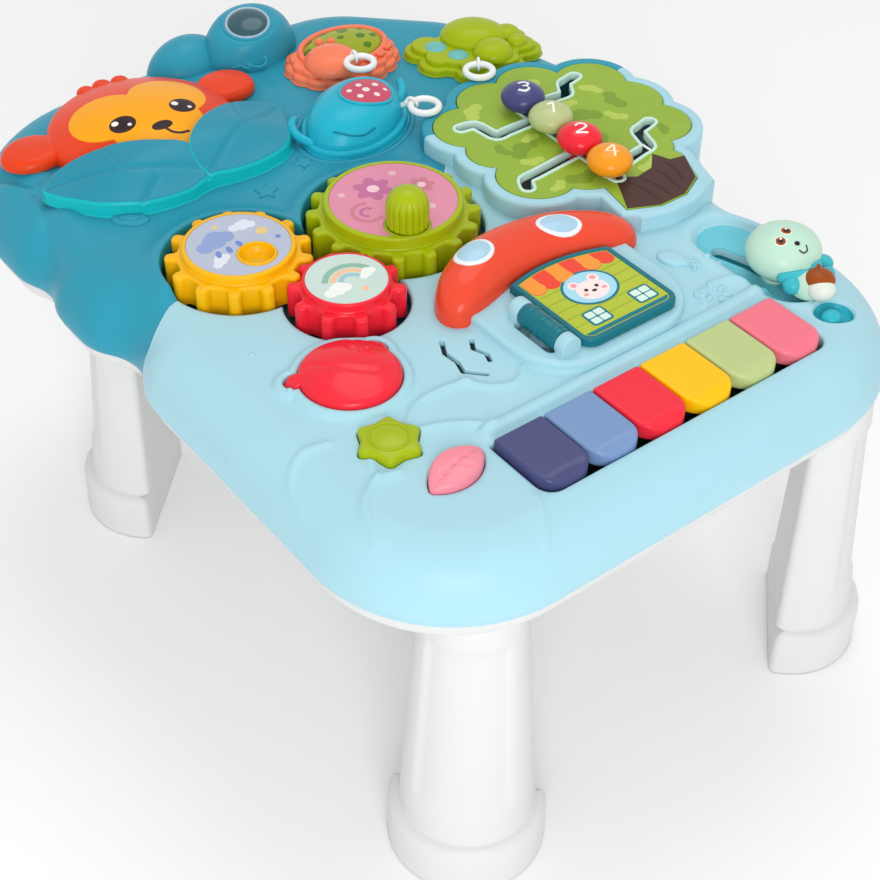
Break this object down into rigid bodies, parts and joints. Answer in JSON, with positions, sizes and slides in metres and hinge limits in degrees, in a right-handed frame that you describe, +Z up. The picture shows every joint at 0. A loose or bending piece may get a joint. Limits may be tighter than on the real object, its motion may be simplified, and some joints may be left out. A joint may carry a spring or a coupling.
{
  "type": "activity table",
  "caption": "Children's activity table with piano keys, buttons, meshed gears, house flap, bead maze, hiding monkey and lift-out rattles.",
  "frame": {"origin": "on the floor under the middle of the deck", "axes": "+X to the table's right along the keys, +Y from the keys to the back, +Z up"},
  "size_m": [0.366, 0.47, 0.2677],
  "materials": {
    "base_tray": "gloss",
    "deck_front": "gloss",
    "deck_back": "gloss",
    "leg_front_left": "gloss",
    "leg_front_right": "gloss",
    "leg_rear_left": "gloss",
    "leg_rear_right": "gloss",
    "battery_cover": "matt",
    "batteries": "gloss",
    "circuit_board": "matt",
    "key_board": "matt",
    "button_switches": "matt",
    "key_contacts": "matt",
    "speaker": "matt",
    "base_screws": "brushed",
    "cover_screw": "brushed",
    "power_switch": "matt",
    "key_rod": "brushed",
    "key_1": "gloss",
    "key_2": "gloss",
    "key_3": "gloss",
    "key_4": "gloss",
    "key_5": "gloss",
    "key_6": "gloss",
    "fish_button": "gloss",
    "star_button": "gloss",
    "leaf_button": "gloss",
    "gear_tray": "gloss",
    "green_gear": "gloss",
    "green_gear_label": "matt",
    "gear_knob": "gloss",
    "yellow_gear": "gloss",
    "yellow_gear_label": "matt",
    "red_gear": "gloss",
    "red_gear_label": "matt",
    "mushroom_cap": "gloss",
    "mushroom_lights": "gloss",
    "house_door": "gloss",
    "door_picture": "matt",
    "door_pin": "brushed",
    "tree_plate": "matt",
    "slot_lining": "gloss",
    "bead_navy": "gloss",
    "bead_green": "gloss",
    "bead_red": "gloss",
    "bead_orange": "gloss",
    "leaf_cover": "gloss",
    "monkey_head": "gloss",
    "monkey_face": "gloss",
    "snail_rattle": "gloss",
    "snail_window": "gloss",
    "snail_ring": "gloss",
    "whale_rattle": "gloss",
    "whale_window": "gloss",
    "whale_ring": "gloss",
    "frog_rattle": "gloss",
    "frog_windows": "gloss",
    "frog_ring": "gloss",
    "squirrel_slider": "gloss",
    "lamp_lens": "gloss"
  },
  "bodies": {
    "table": {"base_tray": "base_tray", "deck_front": "deck_front", "deck_back": "deck_back", "leg_front_left": "leg_front_left", "leg_front_right": "leg_front_right", "leg_rear_left": "leg_rear_left", "leg_rear_right": "leg_rear_right", "battery_cover": "battery_cover", "batteries": "batteries", "circuit_board": "circuit_board", "key_board": "key_board", "button_switches": "button_switches", "key_contacts": "key_contacts", "speaker": "speaker", "base_screws": "base_screws", "cover_screw": "cover_screw", "key_rod": "key_rod", "gear_tray": "gear_tray", "mushroom_cap": "mushroom_cap", "mushroom_lights": "mushroom_lights", "door_pin": "door_pin", "tree_plate": "tree_plate", "slot_lining": "slot_lining", "leaf_cover": "leaf_cover", "lamp_lens": "lamp_lens"},
    "key_1": {"key_1": "key_1"},
    "key_2": {"key_2": "key_2"},
    "key_3": {"key_3": "key_3"},
    "key_4": {"key_4": "key_4"},
    "key_5": {"key_5": "key_5"},
    "key_6": {"key_6": "key_6"},
    "fish_button": {"fish_button": "fish_button"},
    "star_button": {"star_button": "star_button"},
    "leaf_button": {"leaf_button": "leaf_button"},
    "power_switch": {"power_switch": "power_switch"},
    "gear_knob": {"gear_knob": "gear_knob"},
    "bead_navy": {"bead_navy": "bead_navy"},
    "bead_green": {"bead_green": "bead_green"},
    "bead_red": {"bead_red": "bead_red"},
    "bead_orange": {"bead_orange": "bead_orange"},
    "snail_ring": {"snail_ring": "snail_ring"},
    "whale_ring": {"whale_ring": "whale_ring"},
    "frog_ring": {"frog_ring": "frog_ring"},
    "squirrel_slider": {"squirrel_slider": "squirrel_slider"},
    "green_gear": {"green_gear": "green_gear", "green_gear_label": "green_gear_label"},
    "yellow_gear": {"yellow_gear": "yellow_gear", "yellow_gear_label": "yellow_gear_label"},
    "red_gear": {"red_gear": "red_gear", "red_gear_label": "red_gear_label"},
    "house_door": {"house_door": "house_door", "door_picture": "door_picture"},
    "monkey": {"monkey_head": "monkey_head", "monkey_face": "monkey_face"},
    "snail": {"snail_rattle": "snail_rattle", "snail_window": "snail_window"},
    "whale": {"whale_rattle": "whale_rattle", "whale_window": "whale_window"},
    "frog": {"frog_rattle": "frog_rattle", "frog_windows": "frog_windows"}
  },
  "joints": [
    {"name": "key_1_press", "type": "hinge", "parent": "table", "child": "key_1", "pos_m": [-0.0725, -0.1565, 0.2205], "axis": [1, 0, 0], "range_deg": [0, 3.8], "stiffness_Nm_per_rad": 0.5, "springref_deg": -5.73},
    {"name": "key_2_press", "type": "hinge", "parent": "table", "child": "key_2", "pos_m": [-0.0425, -0.1565, 0.2205], "axis": [1, 0, 0], "range_deg": [0, 3.8], "stiffness_Nm_per_rad": 0.5, "springref_deg": -5.73},
    {"name": "key_3_press", "type": "hinge", "parent": "table", "child": "key_3", "pos_m": [-0.0125, -0.1565, 0.2205], "axis": [1, 0, 0], "range_deg": [0, 3.8], "stiffness_Nm_per_rad": 0.5, "springref_deg": -5.73},
    {"name": "key_4_press", "type": "hinge", "parent": "table", "child": "key_4", "pos_m": [0.0175, -0.1565, 0.2205], "axis": [1, 0, 0], "range_deg": [0, 3.8], "stiffness_Nm_per_rad": 0.5, "springref_deg": -5.73},
    {"name": "key_5_press", "type": "hinge", "parent": "table", "child": "key_5", "pos_m": [0.0475, -0.1565, 0.2205], "axis": [1, 0, 0], "range_deg": [0, 3.8], "stiffness_Nm_per_rad": 0.5, "springref_deg": -5.73},
    {"name": "key_6_press", "type": "hinge", "parent": "table", "child": "key_6", "pos_m": [0.0775, -0.1565, 0.2205], "axis": [1, 0, 0], "range_deg": [0, 3.8], "stiffness_Nm_per_rad": 0.5, "springref_deg": -5.73},
    {"name": "fish_press", "type": "slide", "parent": "table", "child": "fish_button", "axis": [0, 0, -1], "range_m": [0, 0.003], "stiffness_N_per_m": 400, "springref_m": -0.002},
    {"name": "star_press", "type": "slide", "parent": "table", "child": "star_button", "axis": [0, 0, -1], "range_m": [0, 0.003], "stiffness_N_per_m": 400, "springref_m": -0.002},
    {"name": "leaf_press", "type": "slide", "parent": "table", "child": "leaf_button", "axis": [0, 0, -1], "range_m": [0, 0.003], "stiffness_N_per_m": 400, "springref_m": -0.002},
    {"name": "power_slide", "type": "slide", "parent": "table", "child": "power_switch", "axis": [1, 0, 0], "range_m": [0, 0.007]},
    {"name": "door_swing", "type": "hinge", "parent": "table", "child": "house_door", "pos_m": [-0.02, -0.122, 0.2395], "axis": [0, -1, 0], "range_deg": [0, 110]},
    {"name": "green_gear_spin", "type": "hinge", "parent": "table", "child": "green_gear", "pos_m": [-0.01786, 0.003, 0.23], "axis": [0, 0, 1], "continuous": true},
    {"name": "red_gear_spin", "type": "hinge", "parent": "table", "child": "red_gear", "pos_m": [-0.0765, -0.037, 0.23], "axis": [0, 0, 1], "continuous": true},
    {"name": "yellow_gear_spin", "type": "hinge", "parent": "table", "child": "yellow_gear", "pos_m": [-0.10343, 0.01972, 0.23], "axis": [0, 0, 1], "continuous": true},
    {"name": "knob_spin", "type": "hinge", "parent": "green_gear", "child": "gear_knob", "pos_m": [-0.02586, -0.02, 0.245], "axis": [0, 0, 1], "continuous": true},
    {"name": "monkey_hide", "type": "slide", "parent": "table", "child": "monkey", "axis": [0, -1, 0], "range_m": [0, 0.01]},
    {"name": "bead_navy_slide", "type": "slide", "parent": "table", "child": "bead_navy", "axis": [0.9989, -0.0476, 0], "range_m": [0, 0.03]},
    {"name": "bead_green_spin", "type": "hinge", "parent": "table", "child": "bead_green", "pos_m": [0.098, 0.0118, 0.241], "axis": [0, 0, 1], "continuous": true},
    {"name": "bead_red_slide", "type": "slide", "parent": "table", "child": "bead_red", "axis": [-0.9952, -0.0983, 0], "range_m": [0, 0.036]},
    {"name": "bead_orange_slide", "type": "slide", "parent": "table", "child": "bead_orange", "axis": [0.9811, 0.1935, 0], "range_m": [0, 0.03]},
    {"name": "snail_lift", "type": "slide", "parent": "table", "child": "snail", "axis": [0, 0, 1], "range_m": [0, 0.04]},
    {"name": "snail_ring_swing", "type": "hinge", "parent": "snail", "child": "snail_ring", "pos_m": [0.053, 0.137, 0.245], "axis": [-0.9848, 0.1736, 0], "range_deg": [0, 90]},
    {"name": "whale_lift", "type": "slide", "parent": "table", "child": "whale", "axis": [0, 0, 1], "range_m": [0, 0.04]},
    {"name": "whale_ring_swing", "type": "hinge", "parent": "whale", "child": "whale_ring", "pos_m": [0.0509, 0.0781, 0.2426], "axis": [-0.866, -0.5, 0], "range_deg": [0, 90]},
    {"name": "frog_lift", "type": "slide", "parent": "table", "child": "frog", "axis": [0, 0, 1], "range_m": [0, 0.04]},
    {"name": "frog_ring_swing", "type": "hinge", "parent": "frog", "child": "frog_ring", "pos_m": [0.109, 0.09, 0.2426], "axis": [-0.8192, 0.5736, 0], "range_deg": [0, 90]},
    {"name": "squirrel_slide", "type": "slide", "parent": "table", "child": "squirrel_slider", "axis": [0, 1, 0], "range_m": [0, 0.024]}
  ],
  "couplings": [
    {"joint": "red_gear_spin", "follows": "green_gear_spin", "ratio": -1.6},
    {"joint": "yellow_gear_spin", "follows": "green_gear_spin", "ratio": 1.2308}
  ]
}
